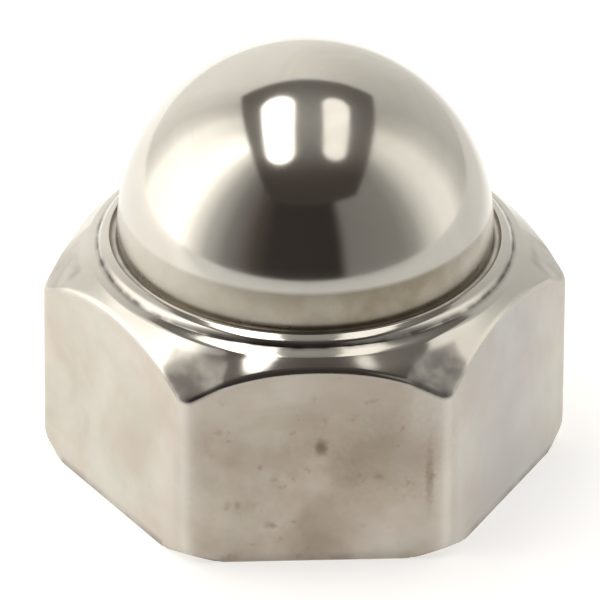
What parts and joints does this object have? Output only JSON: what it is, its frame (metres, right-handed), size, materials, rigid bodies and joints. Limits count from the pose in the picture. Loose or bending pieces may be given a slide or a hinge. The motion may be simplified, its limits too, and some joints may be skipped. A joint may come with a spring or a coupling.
{
  "type": "cap nut",
  "caption": "Domed hexagon cap nut with a polished dome on a short skirt, a beaded collar, chamfered satin flats and a blind threaded hole that covers a screw's end.",
  "frame": {"origin": "middle of the bearing face, on the thread's axis", "axes": "+Z along the thread's axis to the top of the dome, and -Y out of one of the hexagon's flats"},
  "size_m": [0.0148, 0.013, 0.0125],
  "materials": {
    "steel": "mirror-polished dome and chamfer, satin skirt and flats with faint stains and small pits"
  },
  "bodies": {
    "root": {"cap_nut": "steel"}
  },
  "joints": []
}
